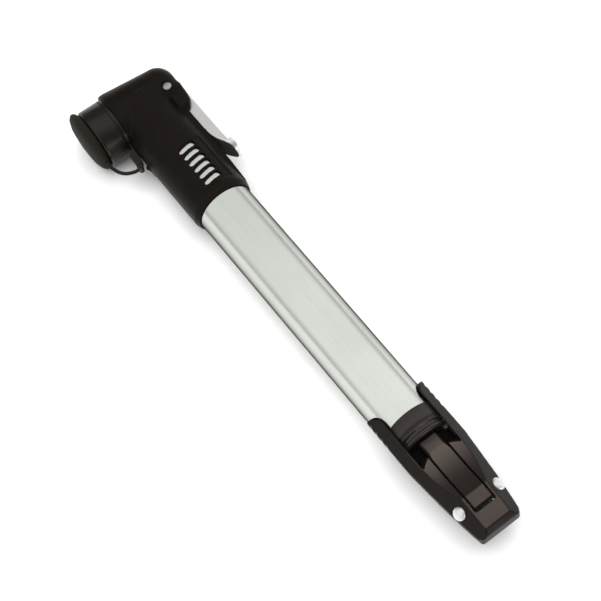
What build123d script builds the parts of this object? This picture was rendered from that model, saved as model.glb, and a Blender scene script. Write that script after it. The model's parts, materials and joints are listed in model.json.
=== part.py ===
from build123d import *
import math
import os

# Mini bicycle pump, lying on its back. All sizes are in millimetres.
# While it is modelled, the barrel's axis is the X axis (head at low X, handle at high X),
# the mouth for the tyre valve points to -Y and +Z is up. PLACE then moves the whole pump so
# that its origin is the bottom centre of its bounding box.

# ---------------------------------------------------------------- driving dimensions
RUN_GAP = 0.05          # radial clearance of a running fit
SEAT_GAP = 0.02         # radial clearance of a piece that is pressed or screwed home
FREE_GAP = 0.3          # gap between pieces that must never touch

# barrel
BARREL_R = 11.0
BARREL_BORE_R = 10.0
BARREL_START_X = 29.0
BARREL_END_X = 169.3

# head: a round body on the mouth's axis, with the sleeve that holds the barrel
SLEEVE_R = 12.35
SLEEVE_END_X = 57.6
SLEEVE_CHAMFER = 2.5
SOCKET_START_X = 27.0
LIP_R = 13.05
LIP_BOTTOM_Y = -11.4
LIP_TOP_Y = -9.0
CROWN_R = 10.55
CROWN_Y = 17.4
CROWN_ROUND = 7.0
LOBE_HALF_Z = 8.8
LOBE_START_X = -1.0
LOBE_END_X = 17.3
LOBE_LOW_Y = 10.2
LOBE_ROUND = 2.0
LOBE_PLAN_ROUND = 4.5
LOBE_TOP_Y = 17.0
RIDGE_HALF_Z = 6.2
RIDGE_END_HALF_Z = 3.6
RIDGE_START_X = 8.0
RIDGE_END_X = 54.6
SPIGOT_R = 10.35
SPIGOT_END_Y = -19.5

# cooling slots through the sleeve
SLOT_COUNT = 6
SLOT_PITCH = 3.38
SLOT_FIRST_X = 33.0
SLOT_WIDTH = 2.2
SLOT_LOW_Y = -2.2
SLOT_HIGH_Y = 5.4
SLOT_LEAN = 9.8
PANEL_SHIFT = (-0.55, -0.22)

# mouth
NUT_TOP_Y = -13.05
NUT_FACE_Y = -21.7
NUT_TOP_R = 11.95
NUT_FACE_R = 12.28
NUT_WINDOW_R = 7.0
GROMMET_R = 8.5
GROMMET_BORE_R = 4.05
GROMMET_BACK_Y = -9.8
GROMMET_FRONT_Y = -19.8

# clamp plunger
PLUNGER_R = 7.95
PLUNGER_BORE_R = 8.0
STEM_R = 5.0
AIR_ROOM_TOP_Y = 1.2
AIR_ROOM_LOW_Y = -5.5
CLAMP_TRAVEL = 2.0

# thumb lever
LEVER_PIVOT = (4.4, 11.8)
LEVER_PIN_R = 1.65
LEVER_PIN_HALF = 9.3
LEVER_HALF_Z = 5.5
LEVER_TURN = 95.0
LEVER_BACK_R = 5.0
CAM_LOW_R = 3.4
LEVER_UNDER_Y = 12.65
LEVER_TIP_X = 41.9
LEVER_TOP_Y = 18.7
LEVER_ROOM_R = 6.2
LEVER_ROOM_HALF_Z = 5.85

# dust cap and its tether
CAP_CENTRE_X = -1.0
CAP_R = 12.7
CAP_BACK_Y = -22.0
CAP_CROWN_Y = -26.6
CAP_PLUG_R = 5.6
CAP_PLUG_TOP_Y = -20.6
STRAP_R = 0.7
TETHER_HINGE = (21.9, -14.9)

# check valve
VALVE_ROOM_R = 4.0
VALVE_ROOM_START_X = 19.5
VALVE_DISC_R = 3.0
VALVE_DISC_THICK = 1.2
VALVE_LIFT = 1.0
PORT_R = 1.5
PLUG_END_X = 34.0

# piston and rod
ROD_R = 3.25
ROD_SPIGOT_R = 2.2
PISTON_START_X = 37.6
PISTON_LENGTH = 6.3
PISTON_R = 9.6
STROKE = 110.0
ROD_END_X = 197.0

# gland at the barrel's open end
COLLAR_END_X = 179.2
COLLAR_START_X = 158.0
BUSH_R = 4.5

# handle
HINGE_X = 207.8
HINGE_Z = 6.4
KNUCKLE_R = 3.3
ARM_TIP_X = 161.0
ARM_BORE_R = 11.3
ARM_LOW_Z = 2.0
ARM_GAP_HALF = 8.4
HANDLE_END_X = 219.9
DECK_START_X = 183.0
NOSE_START_X = 179.6
TONGUE_HALF = 3.9
TONGUE_SLOT_HALF = 4.2
TONGUE_END_X = 210.6
BRIDGE_START_X = 211.8
BRIDGE_LOW_Z = 0.4
CHANNEL_HALF = 6.1
BOSS_R = 5.5
BOSS_START_X = 185.5
BOSS_END_X = 201.2
DECK_LOW_Z = 4.6
HANDLE_LOW_Z = -6.5
PIN_R = 1.6
PLUG_R = 2.4
PLUG_LOW_Z = 5.3
FLANGE_R = 8.1
PLUG_INNER_Y = 6.2
FOLD_TURN = 90.0

# The outline of the handle seen from the front: (x, half width at the widest line)
HANDLE_STATIONS = [(157.0, 12.2), (185.0, 12.2), (204.0, 10.6), (214.0, 9.35), (221.0, 8.3)]
WIDEST_Z = 4.7
CREST_HALF = 4.75
BEVEL_SLOPE = 1.11

# The whole pump's extent, for the origin at the bottom centre of its box
LOW_X = CAP_CENTRE_X - CAP_R
LOW_Y = CAP_CROWN_Y
HIGH_Y = LEVER_TOP_Y
PLACE = Location((-(LOW_X + HANDLE_END_X) / 2, -(LOW_Y + HIGH_Y) / 2, LIP_R))


# ---------------------------------------------------------------- helpers
def rod_x(radius, x0, x1, y=0.0, z=0.0):
    """A cylinder along X from x0 to x1."""
    return Location(((x0 + x1) / 2, y, z), (0, 90, 0)) * Cylinder(radius, x1 - x0)


def rod_y(radius, y0, y1, x=0.0, z=0.0):
    """A cylinder along Y from y0 to y1."""
    return Location((x, (y0 + y1) / 2, z), (90, 0, 0)) * Cylinder(radius, y1 - y0)


def rod_z(radius, z0, z1, x=0.0, y=0.0):
    """A cylinder along Z from z0 to z1."""
    return Location((x, y, (z0 + z1) / 2)) * Cylinder(radius, z1 - z0)


def block(x0, x1, y0, y1, z0, z1):
    """A box between two corners."""
    middle = ((x0 + x1) / 2, (y0 + y1) / 2, (z0 + z1) / 2)
    return Location(middle) * Box(x1 - x0, y1 - y0, z1 - z0)


def turned_x(outline):
    """A solid turned about the barrel's axis; outline is (x, radius) points."""
    points = [(x, r, 0) for x, r in outline]
    return revolve(make_face(Polyline(*points, close=True)), Axis.X, 360)


def turned_y(outline, x=0.0):
    """A solid turned about the mouth's axis; outline is (radius, y) points."""
    points = [(r, y, 0) for r, y in outline]
    return Location((x, 0, 0)) * revolve(make_face(Polyline(*points, close=True)), Axis.Y, 360)


def ring_x(radius, wire, x):
    """A round ring of wire radius about the barrel's axis."""
    return Location((x, 0, 0), (0, 90, 0)) * Torus(radius, wire)


def ring_y(radius, wire, y):
    """A round ring about the mouth's axis."""
    return Location((0, y, 0), (90, 0, 0)) * Torus(radius, wire)


def plate_z(face, z0, z1):
    """A face drawn in the XY plane, made into a plate from z0 to z1."""
    return Location((0, 0, z0)) * extrude(face, z1 - z0, dir=(0, 0, 1))


def side_face(points):
    """A face in the XZ plane from (x, z) points."""
    return make_face(Polyline(*[(x, 0, z) for x, z in points], close=True))


def plate_y(face, half_width):
    """A face in the XZ plane, made into a plate that is centred on the pump's middle."""
    return Location((0, -half_width, 0)) * extrude(face, 2 * half_width, dir=(0, 1, 0))


# ---------------------------------------------------------------- head
def lobe():
    """The bearing cheeks of the lever, before the slot between them is cut."""
    corners = {
        (LOBE_START_X, 4.0): 0, (7.0, 4.0): 0, (9.0, LOBE_LOW_Y): 0, (LOBE_END_X, LOBE_LOW_Y): 0,
        (LOBE_END_X, 13.2): 1.8, (13.4, 16.2): 6.0, (5.0, LOBE_TOP_Y): 16.0, (LOBE_START_X, LOBE_TOP_Y): 0,
    }
    face = make_face(Polyline(*corners, close=True))
    for (x, y), rounding in corners.items():
        if rounding:
            near = [v for v in face.vertices() if abs(v.X - x) + abs(v.Y - y) < 0.01]
            face = fillet(near, rounding)
    solid = plate_z(face, -LOBE_HALF_Z, LOBE_HALF_Z)
    rims = [
        e for e in solid.edges()
        if abs(abs(e.center().Z) - LOBE_HALF_Z) < 0.01 and e.center().Y > LOBE_LOW_Y + 1.2
        and e.center().X > LOBE_START_X + 0.1
    ]
    solid = fillet(rims, LOBE_ROUND)
    # seen from above, the cheeks flare out of the dome and round off at their ends
    half = LOBE_HALF_Z
    plan = make_face(Polyline(
        (LOBE_START_X, -4.0), (7.5, -half), (LOBE_END_X, -half), (LOBE_END_X, half), (7.5, half),
        (LOBE_START_X, 4.0), close=True))
    plan = fillet([v for v in plan.vertices() if v.X > LOBE_END_X - 0.1], LOBE_PLAN_ROUND)
    plan = fillet([v for v in plan.vertices() if abs(v.X - 7.5) < 0.1], 8.0)
    return solid & Rotation(-90, 0, 0) * extrude(plan, 30, both=True)


def ridge():
    """The flat back of the sleeve that the lever rests over."""
    outline = Polyline(
        (RIDGE_START_X, -RIDGE_HALF_Z), (44.0, -RIDGE_HALF_Z), (RIDGE_END_X, -RIDGE_END_HALF_Z),
        (RIDGE_END_X, RIDGE_END_HALF_Z), (44.0, RIDGE_HALF_Z), (RIDGE_START_X, RIDGE_HALF_Z), close=True,
    )
    flat = extrude(make_face(outline), SLEEVE_R, dir=(0, 0, 1))
    return Rotation(-90, 0, 0) * flat


def cooling_slots():
    """The six leaning slots, and the shallow panel that they lie in, deepest along its upper edge."""
    middle_y = (SLOT_LOW_Y + SLOT_HIGH_Y) / 2
    length = SLOT_HIGH_Y - SLOT_LOW_Y
    tools = []
    for number in range(SLOT_COUNT):
        x = SLOT_FIRST_X + number * SLOT_PITCH
        slot = SlotOverall(length, SLOT_WIDTH, rotation=90 + SLOT_LEAN)
        tools.append(Location((x, middle_y, 8.0)) * extrude(slot, 6.0))
    last_x = SLOT_FIRST_X + (SLOT_COUNT - 1) * SLOT_PITCH
    panel = block(SLOT_FIRST_X - 2.2, last_x + 3.0, SLOT_LOW_Y - 1.5, SLOT_HIGH_Y + 3.1, 5.0, 14.0)
    tools.append(panel - rod_x(SLEEVE_R, 20.0, 60.0, *PANEL_SHIFT))
    return tools


def head_body():
    body = turned_y([
        (0, SPIGOT_END_Y), (SPIGOT_R, SPIGOT_END_Y), (SPIGOT_R, LIP_BOTTOM_Y), (LIP_R - 0.5, LIP_BOTTOM_Y),
        (LIP_R, LIP_BOTTOM_Y + 0.5), (LIP_R, LIP_TOP_Y), (CROWN_R, 10.4), (CROWN_R - 0.2, CROWN_Y), (0, CROWN_Y),
    ])
    top = [e for e in body.edges() if e.center().Y > CROWN_Y - 0.1 and e.length > 10]
    body = fillet(top, CROWN_ROUND)
    sleeve = turned_x([
        (0, 0), (0, SLEEVE_R), (SLEEVE_END_X - SLEEVE_CHAMFER, SLEEVE_R),
        (SLEEVE_END_X, BARREL_R + 0.45), (SLEEVE_END_X, 0),
    ])
    gusset = plate_z(
        make_face(Polyline((10.0, -8.0), (26.5, -8.0), (26.5, -12.2), (22.6, -12.4), (20.5, LIP_BOTTOM_Y - 0.6),
                           (10.0, LIP_BOTTOM_Y), close=True)), -4.0, 4.0)
    body = body + sleeve + ridge() + lobe() + gusset
    body -= rod_y(LIP_R + 0.3, -30, LIP_BOTTOM_Y) - rod_y(SPIGOT_R, -31, LIP_BOTTOM_Y + 1)
    # room inside, from the mouth inwards
    body -= rod_y(GROMMET_R + 0.1, SPIGOT_END_Y - 1, GROMMET_BACK_Y)
    body -= rod_y(PLUNGER_BORE_R, GROMMET_BACK_Y - 1, AIR_ROOM_TOP_Y)
    body -= rod_y(STEM_R + RUN_GAP, AIR_ROOM_TOP_Y - 1, LEVER_PIVOT[1])
    # room for the lever and its cam
    px, py = LEVER_PIVOT
    half = LEVER_ROOM_HALF_Z
    body -= rod_z(LEVER_ROOM_R, -half, half, px, py)
    body -= block(px - LEVER_ROOM_R, 60.0, SLEEVE_R, CROWN_Y + 3, -half, half)
    body -= rod_z(LEVER_PIN_R + SEAT_GAP, -20, 20, px, py)
    for z0, z1 in ((LEVER_PIN_HALF - 0.25, 13.0), (-13.0, 0.25 - LEVER_PIN_HALF)):
        body -= rod_z(LEVER_PIN_R + 0.4, z0, z1, px, py)
    # air way, check valve and barrel socket
    body -= rod_x(PORT_R, 0.0, VALVE_ROOM_START_X + 1, -1.6)
    body -= rod_x(VALVE_ROOM_R, VALVE_ROOM_START_X, SOCKET_START_X + 1)
    body -= rod_x(BARREL_R + SEAT_GAP, SOCKET_START_X, SLEEVE_END_X + 1)
    for tool in cooling_slots():
        body -= tool
    return body


def mouth_nut():
    nut = turned_y([
        (SPIGOT_R + SEAT_GAP, NUT_TOP_Y), (NUT_TOP_R, NUT_TOP_Y), (NUT_FACE_R, NUT_FACE_Y + 0.9),
        (NUT_FACE_R - 0.6, NUT_FACE_Y), (NUT_WINDOW_R + 0.8, NUT_FACE_Y), (NUT_WINDOW_R, NUT_FACE_Y + 0.8),
        (NUT_WINDOW_R, GROMMET_FRONT_Y), (SPIGOT_R + SEAT_GAP, GROMMET_FRONT_Y),
    ])
    return nut


def valve_grommet():
    """The rubber sleeve that is squeezed on to the tyre valve."""
    return turned_y([
        (GROMMET_BORE_R, GROMMET_BACK_Y), (GROMMET_R, GROMMET_BACK_Y), (GROMMET_R, -12.6),
        (GROMMET_R - 0.7, -13.4), (GROMMET_R - 0.7, -16.2), (GROMMET_R, -17.0), (GROMMET_R, GROMMET_FRONT_Y),
        (GROMMET_BORE_R + 0.9, GROMMET_FRONT_Y), (GROMMET_BORE_R, GROMMET_FRONT_Y + 0.9),
    ])


def clamp_plunger():
    """Slides towards the mouth and squeezes the grommet."""
    stem_top = LEVER_PIVOT[1] - CAM_LOW_R - RUN_GAP
    back = GROMMET_BACK_Y + RUN_GAP
    plunger = turned_y([
        (0, back), (PLUNGER_R, back), (PLUNGER_R, -7.1), (6.85, -7.1), (6.85, -8.4),
        (PLUNGER_R, -8.4), (PLUNGER_R, back), (0, back),
    ][:3] + [
        (6.85, -7.1), (6.85, -5.9), (PLUNGER_R, -5.9), (PLUNGER_R, AIR_ROOM_LOW_Y + 0.3), (STEM_R, AIR_ROOM_LOW_Y + 0.3),
        (STEM_R, 3.7), (4.0, 3.7), (4.0, 4.9), (STEM_R, 4.9), (STEM_R, stem_top), (0, stem_top),
    ])
    plunger -= rod_y(PORT_R, back - 1, -0.5)
    plunger -= rod_x(1.2, -STEM_R - 1, STEM_R + 1, -2.0)
    return plunger


def plunger_seals():
    low = ring_y(PLUNGER_R - 0.53, 0.55, -6.5)
    high = ring_y(STEM_R - 0.48, 0.5, 4.3)
    return Compound(children=[low, high])


def lever_pin():
    px, py = LEVER_PIVOT
    pin = rod_z(LEVER_PIN_R, -LEVER_PIN_HALF, LEVER_PIN_HALF, px, py)
    return chamfer(pin.edges(), 0.3)


def cam_point(angle_deg):
    """A point of the cam, which lifts in proportion to the lever's angle.

    The outline is the involute whose distance from the pivot to its tangent grows evenly.
    """
    rate = CLAMP_TRAVEL / math.radians(LEVER_TURN)
    turn = math.radians(angle_deg)
    reach = CAM_LOW_R + rate * turn
    facing = math.radians(-90.0) - turn
    nx, ny = math.cos(facing), math.sin(facing)
    return (LEVER_PIVOT[0] + reach * nx + rate * ny, LEVER_PIVOT[1] + reach * ny - rate * nx)


def thumb_lever():
    px, py = LEVER_PIVOT
    half = LEVER_HALF_Z
    tip = LEVER_TIP_X
    back_y = py + LEVER_BACK_R
    # arm: flat over the sleeve, then curling up to a rounded lip
    under = Spline(
        (27.0, LEVER_UNDER_Y), (33.5, 13.6), (37.6, 15.6), (39.6, 16.5), (tip, 16.95), tangents=[(1, 0), (1, 0.2)])
    over = Spline(
        (tip, 17.6), (40.7, 18.45), (39.2, LEVER_TOP_Y), (36.8, 18.0), (31.0, back_y), tangents=[(-0.3, 1), (-1, 0)])
    outline = Curve() + [
        Line((px, LEVER_UNDER_Y), (27.0, LEVER_UNDER_Y)), under, Line((tip, 16.95), (tip, 17.6)), over,
        Line((31.0, back_y), (px, back_y)), Line((px, back_y), (px, LEVER_UNDER_Y)),
    ]
    arm = plate_z(make_face(outline), -half, half)
    # plan of the arm: a rounded thumb end
    plan = block(0, tip - half, 5, 25, -half, half)
    plan += Location((tip - half, 15, 0), (90, 0, 0)) * Cylinder(half, 20)
    arm = arm & plan
    # hub: low quarter, involute lift, then the round back
    steps = [0.0, LEVER_TURN * 0.25, LEVER_TURN * 0.5, LEVER_TURN * 0.75, LEVER_TURN + 3.0]
    lift = Spline(*[cam_point(a) for a in steps])
    first, last = cam_point(0.0), cam_point(LEVER_TURN + 3.0)
    hub_outline = Curve() + [
        lift,
        Line(last, (px - 5.0, py + 2.0)), Line((px - 5.0, py + 2.0), (px - 2.6, back_y - 0.7)),
        Line((px - 2.6, back_y - 0.7), (px, back_y)), Line((px, back_y), (px + 4.0, back_y)),
        Line((px + 4.0, back_y), (px + 4.0, py - 0.6)), Line((px + 4.0, py - 0.6), (px + 1.5, py - CAM_LOW_R + 0.6)),
        Line((px + 1.5, py - CAM_LOW_R + 0.6), first),
    ]
    hub = plate_z(make_face(hub_outline), -half, half)
    lever = hub + arm
    # weight-saving pocket from below, closed by side walls
    pocket = block(14.0, 30.0, LEVER_UNDER_Y - 1, back_y - 1.6, -half + 1.6, half - 1.6)
    lever -= pocket
    lever -= rod_z(LEVER_PIN_R + RUN_GAP, -half - 1, half + 1, px, py)
    return lever


# ---------------------------------------------------------------- dust cap and tether
def dust_cap():
    outline = [
        (0, CAP_PLUG_TOP_Y), (CAP_PLUG_R - 0.7, CAP_PLUG_TOP_Y), (CAP_PLUG_R, CAP_BACK_Y), (CAP_R - 0.8, CAP_BACK_Y),
        (CAP_R, CAP_BACK_Y - 1.2), (CAP_R - 0.25, CAP_BACK_Y - 2.0), (CAP_R - 1.4, CAP_BACK_Y - 3.1),
        (CAP_R - 4.0, CAP_BACK_Y - 4.0), (CAP_R - 8.0, CAP_CROWN_Y + 0.12), (0, CAP_CROWN_Y),
    ]
    return turned_y(outline, CAP_CENTRE_X)


def cap_strap():
    hx, hy = TETHER_HINGE
    path = Spline((11.6, -23.6), (16.4, -22.9), (20.3, -20.3), (21.8, -17.2), (hx, hy), tangents=[(1, 0), (0, 1)])
    section = Location((11.6, -23.6, 0), (0, 90, 0)) * Circle(STRAP_R)
    strap = sweep(section, path=path) + Location((hx, hy, 0)) * Sphere(STRAP_R)
    return strap - dust_cap()


def tether_ring():
    """The tether's fixed end: a flat ring held under the nut, with a tab."""
    ring = turned_y([
        (SPIGOT_R + SEAT_GAP, -12.95), (NUT_TOP_R, -12.95), (NUT_TOP_R, LIP_BOTTOM_Y - 0.1),
        (SPIGOT_R + SEAT_GAP, LIP_BOTTOM_Y - 0.1),
    ])
    tab = plate_z(
        make_face(Polyline((11.5, -12.9), (11.5, -12.2), (20.9, -12.9), (20.9, -15.4), (16.2, -15.6),
                           (14.4, -14.9), (13.2, -12.95), close=True)), -1.3, 1.3)
    return ring + tab


# ---------------------------------------------------------------- barrel and valve
def barrel():
    tube = rod_x(BARREL_R, BARREL_START_X, BARREL_END_X) - rod_x(BARREL_BORE_R, BARREL_START_X - 1, BARREL_END_X + 1)
    return tube


def cylinder_plug():
    """Closes the barrel's head end and carries the check valve's seat."""
    plug = turned_x([
        (SOCKET_START_X, PORT_R), (SOCKET_START_X, BARREL_R), (BARREL_START_X, BARREL_R),
        (BARREL_START_X, BARREL_BORE_R - SEAT_GAP), (30.6, BARREL_BORE_R - SEAT_GAP), (30.6, 8.9), (31.9, 8.9),
        (31.9, BARREL_BORE_R - SEAT_GAP), (PLUG_END_X, BARREL_BORE_R - SEAT_GAP), (PLUG_END_X, 4.2),
        (PLUG_END_X - 0.8, 3.4), (PLUG_END_X - 0.8, PORT_R),
    ])
    return plug


def barrel_seal():
    return ring_x(9.44, 0.53, 31.25)


def check_valve_disc():
    """A small poppet on its seat; it lifts towards the head."""
    face = SOCKET_START_X - 0.05
    return turned_x([
        (face, 0), (face, VALVE_DISC_R), (face - VALVE_DISC_THICK, VALVE_DISC_R), (face - VALVE_DISC_THICK, 1.3),
        (face - 2.4, 1.3), (face - 2.4, 0),
    ])


def check_valve_spring():
    start = VALVE_ROOM_START_X + 0.25
    length = SOCKET_START_X - 0.05 - VALVE_DISC_THICK - 0.25 - start
    wire = 0.22
    path = Helix(pitch=length / 4, height=length, radius=2.0)
    section = Plane(origin=path @ 0, z_dir=path % 0) * Circle(wire)
    coil = sweep(section, path=path, is_frenet=True)
    return Location((start, 0, 0), (0, 90, 0)) * coil


# ---------------------------------------------------------------- piston and rod
def piston_head():
    start, end = PISTON_START_X, PISTON_START_X + PISTON_LENGTH
    return turned_x([
        (start, ROD_SPIGOT_R + RUN_GAP), (start, PISTON_R), (start + 1.2, PISTON_R), (start + 1.2, 7.6),
        (end - 1.4, 7.6), (end - 1.4, PISTON_R), (end, PISTON_R), (end, ROD_SPIGOT_R + RUN_GAP),
    ])


def piston_seal():
    """A rubber cup that is open towards the head."""
    start, end = PISTON_START_X + 1.3, PISTON_START_X + PISTON_LENGTH - 1.5
    lip = BARREL_BORE_R - 0.03
    return turned_x([
        (start, 7.65), (start, 8.3), (start + 1.9, 8.7), (start, 9.3), (start, lip), (start + 1.2, lip),
        (end, 9.5), (end, 7.65),
    ])


def piston_washer():
    end = PISTON_START_X - 0.1
    return turned_x([(end - 0.6, 1.25), (end - 0.6, 4.2), (end, 4.2), (end, 1.25)])


def piston_screw():
    under = PISTON_START_X - 0.7
    head = rod_x(2.6, under - 1.7, under) - Location((under - 1.7, 0, 0), (0, 90, 0)) * extrude(
        RegularPolygon(1.25, 6), 1.1, both=True)
    return head + rod_x(1.2, under, under + 8.0)


def piston_rod():
    shoulder = PISTON_START_X + PISTON_LENGTH + 0.1
    rod = rod_x(ROD_R, shoulder, ROD_END_X) + rod_x(ROD_SPIGOT_R, PISTON_START_X - 0.1, shoulder)
    rod -= rod_x(1.22, PISTON_START_X - 1, PISTON_START_X + 8.5)
    rod -= rod_z(1.27, -10, 10, 192.0)
    return rod


def rod_bumper():
    start = PISTON_START_X + PISTON_LENGTH + STROKE + 0.4
    return turned_x([(start, ROD_R + 0.25), (start, 8.2), (COLLAR_START_X, 8.2), (COLLAR_START_X, ROD_R + 0.25)])


def collar():
    """The gland nut that closes the barrel round the rod."""
    outer = [
        (COLLAR_START_X, BUSH_R), (COLLAR_START_X, BARREL_BORE_R - SEAT_GAP), (BARREL_END_X, BARREL_BORE_R - SEAT_GAP),
        (BARREL_END_X, BARREL_R), (174.3, BARREL_R), (174.8, 10.65), (175.0, 10.65), (175.3, 10.9), (176.0, 10.9),
        (176.5, 10.1), (177.4, 10.0), (177.8, 10.45), (178.6, 10.4), (COLLAR_END_X, 9.8), (COLLAR_END_X, 5.6),
        (177.4, 5.6), (177.4, BUSH_R),
    ]
    return turned_x(outer)


def rod_bushing():
    return turned_x([
        (COLLAR_START_X + 0.5, ROD_R + RUN_GAP), (COLLAR_START_X + 0.5, BUSH_R - SEAT_GAP),
        (177.3, BUSH_R - SEAT_GAP), (177.3, ROD_R + RUN_GAP),
    ])


def rod_wiper():
    return turned_x([
        (177.45, ROD_R + 0.2), (177.45, 5.55), (178.6, 5.55), (178.9, 4.4), (178.9, ROD_R + 0.04), (178.4, ROD_R + 0.04),
    ])


# ---------------------------------------------------------------- handle
def handle_section(x, half_width):
    """The handle's outline across X: a flat crest, bevels, and sides that lean in below."""
    crest_z = WIDEST_Z + (half_width - CREST_HALF) * BEVEL_SLOPE
    half = [
        (CREST_HALF, crest_z), (half_width, WIDEST_Z), (half_width - 0.15, 2.0),
        (half_width - 0.9, -2.0), (half_width - 2.6, HANDLE_LOW_Z),
    ]
    points = [(x, y, z) for y, z in half] + [(x, -y, z) for y, z in reversed(half)]
    return make_face(Polyline(*points, close=True))


def handle_blank():
    """The faceted block that the shell and the tongue are both cut from."""
    parts = []
    for (x0, w0), (x1, w1) in zip(HANDLE_STATIONS, HANDLE_STATIONS[1:]):
        parts.append(loft([handle_section(x0, w0), handle_section(x1, w1)], ruled=True))
    blank = parts[0]
    for piece in parts[1:]:
        blank += piece
    return blank & front_and_back()


def front_and_back():
    """Side view of the handle: level arms, thumb dish, flat pad, sloping end."""
    dish = ThreePointArc((189.0, 0, 8.55), (197.8, 0, 8.9), (205.5, 0, 10.35))
    low = Spline(
        (186.0, 0, ARM_LOW_Z), (188.5, 0, -4.6), (193.5, 0, HANDLE_LOW_Z), tangents=[(0.1, 0, -1), (1, 0, 0)])
    edges = Curve() + [
        Line((ARM_TIP_X, 0, ARM_LOW_Z + 1.2), (ARM_TIP_X, 0, 3.4)),
        Spline((ARM_TIP_X, 0, 3.4), (163.0, 0, 7.2), (167.6, 0, 8.65), tangents=[(0, 0, 1), (1, 0, 0)]),
        Line((167.6, 0, 8.65), (189.0, 0, 8.55)), dish, Line((205.5, 0, 10.35), (218.05, 0, 8.7)),
        Line((218.05, 0, 8.7), (HANDLE_END_X - 0.2, 0, 7.0)),
        Line((HANDLE_END_X - 0.2, 0, 7.0), (HANDLE_END_X, 0, 6.0)),
        Line((HANDLE_END_X, 0, 6.0), (HANDLE_END_X - 0.1, 0, BRIDGE_LOW_Z + 0.6)),
        Line((HANDLE_END_X - 0.1, 0, BRIDGE_LOW_Z + 0.6), (219.0, 0, BRIDGE_LOW_Z)),
        Line((219.0, 0, BRIDGE_LOW_Z), (214.0, 0, -1.6)), Line((214.0, 0, -1.6), (204.0, 0, HANDLE_LOW_Z)),
        Line((204.0, 0, HANDLE_LOW_Z), (193.5, 0, HANDLE_LOW_Z)), low,
        Line((186.0, 0, ARM_LOW_Z), (ARM_TIP_X + 1.0, 0, ARM_LOW_Z)),
        Line((ARM_TIP_X + 1.0, 0, ARM_LOW_Z), (ARM_TIP_X, 0, ARM_LOW_Z + 1.2)),
    ]
    return plate_y(make_face(edges), 20.0)


def nose_cut():
    """Removes the deck in front of a sloping round nose."""
    box = block(150.0, 197.0, -ARM_GAP_HALF, ARM_GAP_HALF, -30.0, 30.0)
    nose = Location((197.0, 0, 6.9)) * Cone(14.6, 11.4, 3.8)
    stub = Location((197.0, 0, 0)) * Cylinder(14.6, 10.2)
    return box - nose - stub


def handle_shell():
    shell = handle_blank()
    shell -= nose_cut()
    # room round the barrel, the collar and the core
    shell -= rod_x(ARM_BORE_R, 150.0, NOSE_START_X)
    shell -= rod_x(ARM_BORE_R, 160.0, BOSS_START_X - 0.5) & block(150, 190, -20, 20, DECK_LOW_Z, 20)
    shell -= block(150.0, DECK_START_X - 1, -ARM_GAP_HALF, ARM_GAP_HALF, -30, 30)
    shell -= block(150.0, BOSS_START_X - 0.5, -ARM_GAP_HALF, ARM_GAP_HALF, -30, DECK_LOW_Z)
    bosses = rod_y(KNUCKLE_R, -CHANNEL_HALF, CHANNEL_HALF, HINGE_X, HINGE_Z)
    shell -= block(150.0, BRIDGE_START_X, -CHANNEL_HALF, CHANNEL_HALF, -30, DECK_LOW_Z) - bosses
    shell -= block(150.0, HANDLE_END_X + 5, -CHANNEL_HALF, CHANNEL_HALF, -30, BRIDGE_LOW_Z)
    shell -= block(150.0, BRIDGE_START_X, -TONGUE_SLOT_HALF, TONGUE_SLOT_HALF, -30, 30)
    # grip notches on the outside of the arms
    for number in range(4):
        x = 163.4 + 3.0 * number
        for side in (1, -1):
            shell -= rod_z(1.0, -5, 10, x, side * 12.88)
    # hinge pin and its end plugs
    shell -= rod_y(PIN_R + SEAT_GAP, -15, 15, HINGE_X, HINGE_Z)
    for side in (1, -1):
        y0, y1 = sorted((side * PLUG_INNER_Y, side * 15.0))
        socket = rod_y(PLUG_R + SEAT_GAP, y0, y1, HINGE_X, HINGE_Z)
        shell -= socket & block(190, 230, -20, 20, PLUG_LOW_Z - SEAT_GAP, 20)
    # rounded corners at the handle's end
    for side in (1, -1):
        corner = Location((HANDLE_END_X - 1.6, side * 6.75, 0)) * Cylinder(1.6, 60)
        y0, y1 = sorted((side * 6.75, side * 20.0))
        shell -= block(HANDLE_END_X - 1.6, HANDLE_END_X + 5, y0, y1, -30, 30) - corner
    return shell


def handle_core():
    """The tongue and knuckle at the rod's end, which the shell folds about."""
    tongue = handle_blank() & block(NOSE_START_X, TONGUE_END_X, -TONGUE_HALF, TONGUE_HALF, -20, 20)
    # the tongue's nose slopes down to the collar
    tongue -= plate_y(make_face(Polyline(
        (150, 0, 7.3), (NOSE_START_X, 0, 7.3), (DECK_START_X + 0.4, 0, 8.1), (DECK_START_X + 3.2, 0, 8.75),
        (DECK_START_X + 3.2, 0, 20), (150, 0, 20), close=True)), 12.0)
    rims = [
        e for e in tongue.edges()
        if e.center().X < DECK_START_X + 3.0 and e.center().Z > 7.0 and abs(abs(e.center().Y) - TONGUE_HALF) < 0.05
    ]
    tongue = chamfer(rims, 0.7)
    low = block(BOSS_END_X, 230, -10, 10, -20, HINGE_Z - 3.8)
    low += block(HINGE_X, 230, -10, 10, -20, HINGE_Z)
    low -= rod_y(KNUCKLE_R, -10, 10, HINGE_X, HINGE_Z)
    core = tongue - low
    core -= block(150, BOSS_START_X, -10, 10, -20, 3.6)
    core += rod_x(BOSS_R, BOSS_START_X - 1, BOSS_END_X)
    flange = rod_x(FLANGE_R, NOSE_START_X, BOSS_START_X - 0.8)
    core += flange & block(150, 200, -20, 20, -20, DECK_LOW_Z - 0.5)
    core -= rod_x(ROD_R + SEAT_GAP, 150, ROD_END_X + 0.1)
    core -= rod_y(PIN_R + RUN_GAP, -10, 10, HINGE_X, HINGE_Z)
    core -= rod_z(1.27, -12, 4.0, 192.0)
    core -= rod_z(2.3, -12, -4.2, 192.0)
    return core


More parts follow.
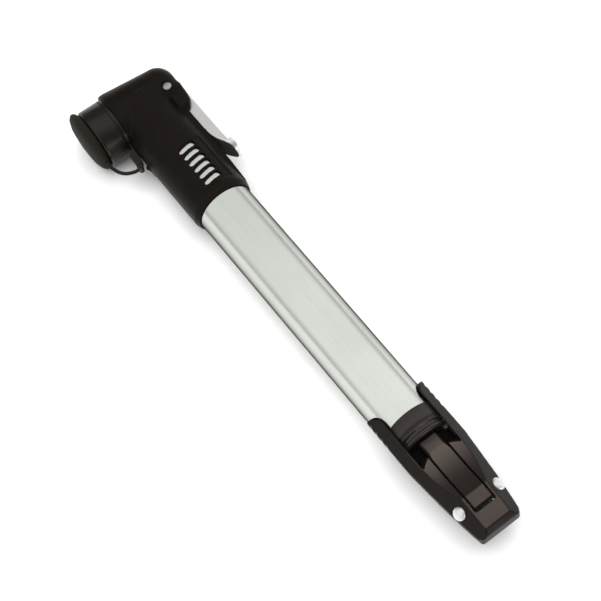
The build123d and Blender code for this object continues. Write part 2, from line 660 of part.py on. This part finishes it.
def core_screw():
    """Holds the handle's core on the rod, from behind."""
    screw = rod_z(1.25, -4.2, 3.6, 192.0) + rod_z(2.2, -5.3, -4.2, 192.0)
    return screw - block(189.9, 194.1, -0.35, 0.35, -6.0, -4.8)


def hinge_pin():
    return rod_y(PIN_R, -PLUG_INNER_Y, PLUG_INNER_Y, HINGE_X, HINGE_Z)


def hinge_plugs():
    """Two bright plugs that close the pin's ends, dressed to the handle's bevels."""
    skin = []
    for (x0, w0), (x1, w1) in zip(HANDLE_STATIONS[1:], HANDLE_STATIONS[2:]):
        skin.append(loft([handle_section(x0, w0 + 0.3), handle_section(x1, w1 + 0.3)], ruled=True))
    body = skin[0]
    for piece in skin[1:]:
        body += piece
    plugs = []
    for side in (1, -1):
        y0, y1 = sorted((side * (PLUG_INNER_Y + 0.02), side * 13.0))
        plug = rod_y(PLUG_R, y0, y1, HINGE_X, HINGE_Z) & block(190, 230, -20, 20, PLUG_LOW_Z, 20)
        plugs.append(plug & body)
    return Compound(children=plugs)


NODES = {
    "head_body": head_body,
    "mouth_nut": mouth_nut,
    "valve_grommet": valve_grommet,
    "clamp_plunger": clamp_plunger,
    "plunger_seals": plunger_seals,
    "thumb_lever": thumb_lever,
    "lever_pin": lever_pin,
    "dust_cap": dust_cap,
    "cap_strap": cap_strap,
    "tether_ring": tether_ring,
    "barrel": barrel,
    "cylinder_plug": cylinder_plug,
    "barrel_seal": barrel_seal,
    "check_valve_disc": check_valve_disc,
    "check_valve_spring": check_valve_spring,
    "piston_head": piston_head,
    "piston_seal": piston_seal,
    "piston_washer": piston_washer,
    "piston_screw": piston_screw,
    "piston_rod": piston_rod,
    "rod_bumper": rod_bumper,
    "collar": collar,
    "rod_bushing": rod_bushing,
    "rod_wiper": rod_wiper,
    "handle_core": handle_core,
    "core_screw": core_screw,
    "handle_shell": handle_shell,
    "hinge_pin": hinge_pin,
    "hinge_plugs": hinge_plugs,
}

os.makedirs("parts", exist_ok=True)
for name, make in NODES.items():
    export_step(PLACE * make(), f"parts/{name}.step")
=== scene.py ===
import json
import math

import bpy
import bmesh
from mathutils import Matrix, Vector


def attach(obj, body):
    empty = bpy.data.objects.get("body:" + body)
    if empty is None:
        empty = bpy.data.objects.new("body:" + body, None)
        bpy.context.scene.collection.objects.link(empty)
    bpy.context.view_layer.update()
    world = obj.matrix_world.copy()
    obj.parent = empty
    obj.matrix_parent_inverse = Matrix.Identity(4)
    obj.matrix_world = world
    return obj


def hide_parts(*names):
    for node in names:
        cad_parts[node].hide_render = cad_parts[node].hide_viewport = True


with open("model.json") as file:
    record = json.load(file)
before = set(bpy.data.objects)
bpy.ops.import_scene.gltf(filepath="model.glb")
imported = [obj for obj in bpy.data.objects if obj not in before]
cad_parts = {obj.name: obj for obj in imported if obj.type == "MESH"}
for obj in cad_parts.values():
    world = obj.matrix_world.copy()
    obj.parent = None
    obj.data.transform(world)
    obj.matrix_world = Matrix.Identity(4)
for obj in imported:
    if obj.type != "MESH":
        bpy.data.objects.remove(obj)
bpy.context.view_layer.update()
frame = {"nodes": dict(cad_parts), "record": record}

# The pump is described in millimetres with the barrel's axis as the X axis; this is where
# that frame's origin lies in the model, in metres.
ORIGIN = Vector((-0.1031, 0.00395, 0.01305))


def at(x, y, z):
    """A point given in the barrel's frame, in millimetres, as a place in the model, in metres."""
    return ORIGIN + Vector((x, y, z)) * 0.001


# ---------------------------------------------------------------- camera
CAMERA_PLACE = at(379.31, -100.0, 575.85)
TARGET = at(106.5, -1.18, 0.0)
CAMERA_LEAN = math.radians(3.691)
CAMERA_TURN = math.radians(49.989)
SENSOR_WIDTH = 36.0
FOCAL_PIXELS, FRAME_PIXELS = 1784.87, 601.0


def rolled(side, up, angle):
    """Turns a pair of square axes in their own plane."""
    c, s = math.cos(angle), math.sin(angle)
    return side * c + up * s, up * c - side * s


def make_camera():
    """The camera looks at the pump's middle, rolled so that the barrel runs down to the right."""
    back = (CAMERA_PLACE - TARGET).normalized()
    side = Vector((0, 1, 0)).cross(back).normalized()
    side, up = rolled(side, back.cross(side), CAMERA_LEAN)
    right, top = rolled(side, up, CAMERA_TURN)
    data = bpy.data.cameras.new("camera")
    data.sensor_width = SENSOR_WIDTH
    data.lens = SENSOR_WIDTH * FOCAL_PIXELS / FRAME_PIXELS
    data.clip_start, data.clip_end = 0.01, 20.0
    camera = bpy.data.objects.new("camera", data)
    bpy.context.scene.collection.objects.link(camera)
    turned = Matrix((right, top, back)).transposed().to_4x4()
    camera.matrix_world = Matrix.Translation(CAMERA_PLACE) @ turned
    bpy.context.scene.camera = camera


make_camera()


# ---------------------------------------------------------------- light and floor
def area_light(name, direction, distance, size, watts, glossy=True, diffuse=True):
    """A soft square light that looks at the pump's middle from a direction in the model's frame."""
    way = Vector(direction).normalized()
    data = bpy.data.lights.new(name, "AREA")
    data.shape = "SQUARE"
    data.size = size
    data.energy = watts
    light = bpy.data.objects.new(name, data)
    bpy.context.scene.collection.objects.link(light)
    light.location = TARGET + way * distance
    light.rotation_mode = "QUATERNION"
    light.rotation_quaternion = (-way).to_track_quat("-Z", "Y")
    light.visible_glossy = glossy
    light.visible_diffuse = diffuse


def fade_node(tree, source, start, stop, low, high):
    node = tree.nodes.new("ShaderNodeMapRange")
    node.interpolation_type = "SMOOTHSTEP"
    node.inputs["From Min"].default_value = start
    node.inputs["From Max"].default_value = stop
    node.inputs["To Min"].default_value = low
    node.inputs["To Max"].default_value = high
    tree.links.new(source, node.inputs["Value"])
    return node.outputs["Result"]


def math_node(tree, operation, first, second):
    node = tree.nodes.new("ShaderNodeMath")
    node.operation = operation
    for socket, value in zip(node.inputs, (first, second)):
        if isinstance(value, float):
            socket.default_value = value
        else:
            tree.links.new(value, socket)
    return node.outputs["Value"]


def make_world(dim, bright, centre, inner, outer, horizon):
    """A white tent arched over the pump: brightest in a band across it, dimmer beyond its ends."""
    world = bpy.data.worlds.new("studio")
    bpy.context.scene.world = world
    world.use_nodes = True
    tree = world.node_tree
    coords = tree.nodes.new("ShaderNodeTexCoord")
    split = tree.nodes.new("ShaderNodeSeparateXYZ")
    tree.links.new(coords.outputs["Generated"], split.inputs["Vector"])
    away = math_node(tree, "ABSOLUTE", math_node(tree, "ADD", split.outputs["X"], -centre), 0.0)
    band = fade_node(tree, away, inner, outer, bright, dim)
    low = fade_node(tree, split.outputs["Z"], 0.0, 0.35, horizon, 1.0)
    tree.links.new(math_node(tree, "MULTIPLY", band, low), tree.nodes["Background"].inputs["Strength"])
    tree.nodes["Background"].inputs["Color"].default_value = (1, 1, 1, 1)


make_world(dim=0.16, bright=1.28, centre=-0.08, inner=0.24, outer=0.78, horizon=0.42)
area_light("fill", (0.1, 0.0, 1.0), 1.2, 1.0, 12.0, glossy=False)
area_light("key", (0.97, 0.17, 0.10), 0.9, 0.34, 2.0, diffuse=False)
bpy.context.scene.view_settings.view_transform = "Standard"


# ---------------------------------------------------------------- materials
def new_material(name):
    material = bpy.data.materials.new(name)
    material.use_nodes = True
    tree = material.node_tree
    return material, tree, tree.nodes["Principled BSDF"]


def add_noise(tree, scale, detail=4.0, stretch=(1, 1, 1)):
    coords = tree.nodes.new("ShaderNodeTexCoord")
    mapping = tree.nodes.new("ShaderNodeMapping")
    mapping.inputs["Scale"].default_value = stretch
    noise = tree.nodes.new("ShaderNodeTexNoise")
    noise.inputs["Scale"].default_value = scale
    noise.inputs["Detail"].default_value = detail
    tree.links.new(coords.outputs["Object"], mapping.inputs["Vector"])
    tree.links.new(mapping.outputs["Vector"], noise.inputs["Vector"])
    return noise


def span(tree, source, low, high):
    """Maps a 0 to 1 value on to low to high."""
    node = tree.nodes.new("ShaderNodeMapRange")
    node.inputs["From Min"].default_value = 0.3
    node.inputs["From Max"].default_value = 0.7
    node.inputs["To Min"].default_value = low
    node.inputs["To Max"].default_value = high
    tree.links.new(source, node.inputs["Value"])
    return node.outputs["Result"]


def two_tone(tree, source, dark, light):
    node = tree.nodes.new("ShaderNodeMix")
    node.data_type = "RGBA"
    node.inputs["A"].default_value = (*dark, 1)
    node.inputs["B"].default_value = (*light, 1)
    tree.links.new(span(tree, source, 0.0, 1.0), node.inputs["Factor"])
    return node.outputs["Result"]


def lit_flat(tree, colour, flat):
    """Lighter, browner plastic on the handle's flat, strongest at the tongue's nose and at the end.

    The colour is fixed to the plastic. It stands in for light that falls off along the flat.
    """
    coords = tree.nodes.new("ShaderNodeTexCoord")
    split = tree.nodes.new("ShaderNodeSeparateXYZ")
    tree.links.new(coords.outputs["Normal"], split.inputs["Vector"])
    spot = tree.nodes.new("ShaderNodeSeparateXYZ")
    tree.links.new(coords.outputs["Object"], spot.inputs["Vector"])
    facing = fade_node(tree, split.outputs["Z"], 0.90, 1.0, 0.0, 1.0)
    raised = fade_node(tree, spot.outputs["Z"], at(0, 0, 4.4).z, at(0, 0, 5.4).z, 0.0, 1.0)
    nose = fade_node(tree, spot.outputs["X"], at(183.0, 0, 0).x, at(200.0, 0, 0).x, 1.0, 0.10)
    end = fade_node(tree, spot.outputs["X"], at(205.2, 0, 0).x, at(205.9, 0, 0).x, 0.0, 0.48)
    slope = fade_node(tree, spot.outputs["X"], at(178.0, 0, 0).x, at(186.5, 0, 0).x, 0.25, 1.0)
    patch = span(tree, add_noise(tree, 140.0, 4.0).outputs["Fac"], 0.85, 1.0)
    facing = math_node(tree, "MULTIPLY", facing, math_node(tree, "MULTIPLY", raised, slope))
    facing = math_node(tree, "MULTIPLY", facing, math_node(tree, "ADD", nose, end))
    node = tree.nodes.new("ShaderNodeMix")
    node.data_type = "RGBA"
    tree.links.new(math_node(tree, "MULTIPLY", facing, patch), node.inputs["Factor"])
    tree.links.new(colour, node.inputs["A"])
    node.inputs["B"].default_value = (*flat, 1)
    return node.outputs["Result"]


def moulded(name, dark, light, rough, grain, bump, spread=0.07, shine=0.05,
            tint=(1.0, 0.88, 0.80), flat=None):
    """Moulded plastic or rubber: fine grain, faint flow marks and uneven sheen."""
    material, tree, shader = new_material(name)
    shader.inputs["Specular IOR Level"].default_value = shine
    shader.inputs["Specular Tint"].default_value = (*tint, 1)
    flow = add_noise(tree, 90.0, 5.0)
    fine = add_noise(tree, grain, 2.0)
    colour = two_tone(tree, flow.outputs["Fac"], dark, light)
    if flat:
        colour = lit_flat(tree, colour, flat)
    tree.links.new(colour, shader.inputs["Base Color"])
    sheen = span(tree, flow.outputs["Fac"], rough - spread, rough + spread)
    tree.links.new(sheen, shader.inputs["Roughness"])
    raise_ = tree.nodes.new("ShaderNodeBump")
    raise_.inputs["Strength"].default_value = bump
    raise_.inputs["Distance"].default_value = 0.00008
    tree.links.new(fine.outputs["Fac"], raise_.inputs["Height"])
    tree.links.new(raise_.outputs["Normal"], shader.inputs["Normal"])
    return material


def metal(name, dark, light, rough, stretch, bump, scale=700.0, spread=0.06, edge=(1, 1, 1)):
    """Satin metal with fine drawn lines along or round the piece."""
    material, tree, shader = new_material(name)
    lines = add_noise(tree, scale, 3.0, stretch)
    patch = add_noise(tree, 40.0, 3.0)
    shader.inputs["Metallic"].default_value = 1.0
    shader.inputs["Specular Tint"].default_value = (*edge, 1)
    tree.links.new(two_tone(tree, patch.outputs["Fac"], dark, light), shader.inputs["Base Color"])
    sheen = span(tree, lines.outputs["Fac"], rough - spread, rough + spread)
    tree.links.new(sheen, shader.inputs["Roughness"])
    raise_ = tree.nodes.new("ShaderNodeBump")
    raise_.inputs["Strength"].default_value = bump
    raise_.inputs["Distance"].default_value = 0.00004
    tree.links.new(lines.outputs["Fac"], raise_.inputs["Height"])
    tree.links.new(raise_.outputs["Normal"], shader.inputs["Normal"])
    return material


MATERIALS = {
    "head_plastic": moulded(
        "head_plastic", (0.0058, 0.0044, 0.0036), (0.0080, 0.0062, 0.0050), 0.40, 2600.0, 0.12),
    "nut_plastic": moulded(
        "nut_plastic", (0.0062, 0.0049, 0.0041), (0.0085, 0.0068, 0.0057), 0.34, 2600.0, 0.12, shine=0.26),
    # painted shade: the dull dark grey given to the lever's underside
    "inner_plastic": moulded("inner_plastic", (0.06, 0.06, 0.06), (0.08, 0.08, 0.08), 0.5, 2600.0, 0.1),
    "collar_plastic": moulded(
        "collar_plastic", (0.0085, 0.0072, 0.0066), (0.013, 0.011, 0.010), 0.40, 2600.0, 0.1, shine=0.45),
    "handle_plastic": moulded(
        "handle_plastic", (0.0040, 0.0031, 0.0027), (0.0060, 0.0047, 0.0041), 0.44, 2200.0, 0.2, shine=0.16,
        # flat: the colour of the painted highlight that lit_flat lays along the handle's flat
        flat=(0.078, 0.064, 0.056)),
    # painted shade: a near-black, dull finish for the core's flange deep between the handle's arms
    "painted_shade_plastic": moulded(
        "painted_shade_plastic", (0.0020, 0.0018, 0.0016), (0.0030, 0.0026, 0.0024), 0.6, 2200.0, 0.1, shine=0.03),
    "cap_rubber": moulded(
        "cap_rubber", (0.0135, 0.0120, 0.0092), (0.0200, 0.0178, 0.0140), 0.62, 2400.0, 0.2),
    "seal_rubber": moulded("seal_rubber", (0.012, 0.012, 0.012), (0.02, 0.02, 0.02), 0.6, 2600.0, 0.2),
    "lever_aluminium": metal(
        "lever_aluminium", (0.625, 0.612, 0.585), (0.70, 0.687, 0.658), 0.42, (0.2, 1, 1), 0.05),
    "barrel_aluminium": metal(
        "barrel_aluminium", (0.585, 0.605, 0.56), (0.63, 0.65, 0.605), 0.24, (0.05, 1, 1), 0.04,
        # edge: a black edge tint, so the reflection fades to black towards the outline: painted dark
        # reflection along the silhouettes
        spread=0.03, edge=(0, 0, 0)),
    "stud_steel": metal("stud_steel", (0.74, 0.74, 0.73), (0.84, 0.84, 0.83), 0.52, (1, 1, 1), 0.08),
    "pin_steel": metal("pin_steel", (0.36, 0.34, 0.33), (0.44, 0.42, 0.41), 0.5, (1, 1, 1), 0.05),
    "rod_steel": metal("rod_steel", (0.10, 0.10, 0.10), (0.14, 0.14, 0.14), 0.35, (0.1, 1, 1), 0.08),
    "bright_steel": metal("bright_steel", (0.80, 0.80, 0.80), (0.88, 0.88, 0.87), 0.22, (1, 1, 1), 0.08),
}

for entry in frame["record"]["subparts"]:
    node = frame["nodes"][entry["node"]]
    node.data.materials.clear()
    node.data.materials.append(MATERIALS[entry["material_slot"]])


# ---------------------------------------------------------------- softened edges
def place(piece, body, slot, *replaced):
    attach(piece, body)
    if replaced:
        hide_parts(*replaced)


def new_piece(name, mesh):
    piece = bpy.data.objects.new(name, mesh)
    bpy.context.scene.collection.objects.link(piece)
    return piece


def melt(piece, voxel, passes, slot):
    """Joins a piece's shells into one skin and rounds its edges and inside corners."""
    remesh = piece.modifiers.new("remesh", "REMESH")
    remesh.mode = "VOXEL"
    remesh.voxel_size = voxel
    smooth = piece.modifiers.new("smooth", "CORRECTIVE_SMOOTH")
    smooth.use_only_smooth = True
    smooth.factor = 0.5
    smooth.iterations = passes
    depsgraph = bpy.context.evaluated_depsgraph_get()
    done = bpy.data.meshes.new_from_object(piece.evaluated_get(depsgraph))
    piece.modifiers.clear()
    piece.data = done
    done.materials.clear()
    done.materials.append(MATERIALS[slot])
    done.polygons.foreach_set("use_smooth", [True] * len(done.polygons))
    return piece


def block_into(bm, low, high):
    """Adds a block between two corners, given in the barrel's frame."""
    a, b = at(*low), at(*high)
    middle, size = (a + b) / 2, b - a
    bmesh.ops.create_cube(bm, size=1.0, matrix=Matrix.Translation(middle) @ Matrix.Diagonal((*size, 1.0)))


def rod_into(bm, start, end, radius, segments=32):
    """Adds a round rod between two points, given in the barrel's frame."""
    a, b = at(*start), at(*end)
    turn = (b - a).to_track_quat("Z", "Y").to_matrix().to_4x4()
    bmesh.ops.create_cone(
        bm, cap_ends=True, segments=segments, radius1=radius * 0.001, radius2=radius * 0.001,
        depth=(b - a).length, matrix=Matrix.Translation((a + b) / 2) @ turn)


def soften(node_name, body, voxel, passes, slot, extra=None):
    """A copy of a moulded piece with its edges and inside corners rounded, in place of the piece."""
    source = frame["nodes"][node_name]
    bm = bmesh.new()
    bm.from_mesh(source.data)
    if extra:
        extra(bm)
    mesh = bpy.data.meshes.new(node_name + "_skin")
    bm.to_mesh(mesh)
    bm.free()
    piece = melt(new_piece(node_name + "_skin", mesh), voxel, passes, slot)
    place(piece, body, slot, node_name)
    return piece


def square_flange(bm):
    """The core's flange, which nearly fills the gap between the handle's arms; handle_inside gives it
    painted shade.
    """
    block_into(bm, (180.0, -8.33, -6.2), (184.5, 8.33, 4.1))


def hinge_web(bm):
    """The rib that runs from the sleeve down to the tether's hinge."""
    rod_into(bm, (26.5, -10.9, 0.0), (23.0, -12.6, 0.0), 1.2)


soften("head_body", "pump_body", 0.00028, 6, "head_plastic", hinge_web)
soften("handle_shell", "handle", 0.00025, 5, "handle_plastic")


def second_finish(mesh, slot, chosen):
    """Gives the faces that are chosen another material."""
    mesh.materials.append(MATERIALS[slot])
    for polygon in mesh.polygons:
        if chosen(polygon):
            polygon.material_index = 1


def handle_inside():
    """The handle's core; its flange, deep between the arms, gets a darker, dull finish as painted shade."""
    mesh = soften("handle_core", "rod", 0.00025, 5, "handle_plastic", square_flange).data
    edge, top = at(184.7, 0, 0).x, at(0, 0, 4.5).z
    # painted shade on the core's faces ahead of x = 184.7 mm and below z = 4.5 mm
    second_finish(mesh, "painted_shade_plastic", lambda face: face.center.x < edge and face.center.z < top)


handle_inside()


def lever():
    """The lever keeps its metal outside; its underside past the bend, where the thumb hooks it, gets a dull
    dark grey as painted shade.
    """
    mesh = soften("thumb_lever", "lever", 0.0002, 4, "lever_aluminium").data
    hook = at(27.0, 0, 0).x
    # painted shade on faces turned down towards the sleeve beyond x = 27 mm
    second_finish(mesh, "inner_plastic", lambda face: face.normal.y < -0.3 and face.center.x > hook)


lever()


def round_head(bm, profile, steps, spot):
    """A head turned from a profile of (radius, height); spot(x, y, height) gives a point's place."""
    loops = []
    for radius, height in profile:
        turns = [2 * math.pi * step / steps for step in range(steps)]
        loops.append([bm.verts.new(spot(radius * math.cos(a), radius * math.sin(a), height)) for a in turns])
    for lower, upper in zip(loops, loops[1:]):
        for step in range(steps):
            after = (step + 1) % steps
            bm.faces.new((lower[step], lower[after], upper[after], upper[step]))
    bm.faces.new(loops[-1])
    bm.faces.new(list(reversed(loops[0])))


def heads_piece(name, body, bm, finish, *replaced):
    """Makes a piece of round heads, shaded smooth."""
    for face in bm.faces:
        face.smooth = True
    mesh = bpy.data.meshes.new(name)
    bm.to_mesh(mesh)
    bm.free()
    mesh.materials.append(MATERIALS[finish])
    place(new_piece(name, mesh), body, "bright_steel", *replaced)


def plug_studs():
    """The hinge pin's bright ends: low domes set in the handle's bevels."""
    profile = [(2.5, -1.6), (2.5, 0.0), (2.42, 0.35), (2.15, 0.68), (1.6, 0.96), (0.9, 1.12), (0.3, 1.17)]
    bm = bmesh.new()
    for side in (1, -1):
        out = Vector((0.06, side * 0.72, 0.69)).normalized()
        middle = at(207.8, side * 8.35, 6.75)
        turn = out.to_track_quat("Z", "Y").to_matrix().to_4x4()
        round_head(bm, profile, 40, lambda x, y, h: middle + (turn @ (Vector((x, y, h)) * 0.001)))
    heads_piece("hinge_studs", "handle", bm, "stud_steel", "hinge_plugs")


plug_studs()


def pin_heads():
    """The lever pin's two upset ends, seated in the cheeks."""
    profile = [(1.7, -0.6), (1.7, 0.05), (1.6, 0.22), (1.3, 0.36), (0.8, 0.44), (0.3, 0.46)]
    pivot_x, pivot_y, cheek_z = 4.4, 11.8, 9.25
    bm = bmesh.new()
    for side in (1, -1):
        round_head(bm, profile, 36, lambda x, y, h: at(
            pivot_x + x, pivot_y + side * y, side * (cheek_z + h)))
    heads_piece("lever_pin_heads", "pump_body", bm, "pin_steel")


pin_heads()


def tether_knuckle():
    """The tether's moulded hinge: the strap's eye and the tab of the fixed ring."""
    bm = bmesh.new()
    rod_into(bm, (21.9, -14.9, -2.0), (21.9, -14.9, 2.0), 1.15)
    rod_into(bm, (21.9, -14.9, 0.0), (17.6, -13.9, 0.0), 1.3)
    rod_into(bm, (18.0, -14.0, 0.0), (12.6, -12.5, 0.0), 1.0)
    mesh = bpy.data.meshes.new("tether_knuckle")
    bm.to_mesh(mesh)
    bm.free()
    piece = melt(new_piece("tether_knuckle", mesh), 0.00015, 6, "nut_plastic")
    place(piece, "pump_body", "nut_plastic")


tether_knuckle()


def round_edges(node_name, width):
    """Breaks the sharp edges of a turned piece."""
    node = frame["nodes"][node_name]
    weld = node.modifiers.new("weld", "WELD")
    weld.merge_threshold = 0.000002
    flat = node.modifiers.new("flat", "DECIMATE")
    flat.decimate_type = "DISSOLVE"
    flat.angle_limit = math.radians(1.0)
    bevel = node.modifiers.new("bevel", "BEVEL")
    bevel.width = width
    bevel.segments = 3
    bevel.limit_method = "ANGLE"
    bevel.angle_limit = math.radians(32)
    bevel.harden_normals = True


round_edges("dust_cap", 0.00035)
for turned in ("mouth_nut", "collar", "tether_ring"):
    round_edges(turned, 0.00018)


def make_floor():
    mesh = bpy.data.meshes.new("floor")
    half = 3.0
    corners = [(-half, -half, 0), (half, -half, 0), (half, half, 0), (-half, half, 0)]
    mesh.from_pydata(corners, [], [(0, 1, 2, 3)])
    floor = bpy.data.objects.new("floor", mesh)
    bpy.context.scene.collection.objects.link(floor)
    floor.location.z = -0.0002
    material, tree, shader = new_material("floor")
    shader.inputs["Base Color"].default_value = (0.93, 0.93, 0.93, 1)
    shader.inputs["Roughness"].default_value = 0.9
    mesh.materials.append(material)


make_floor()
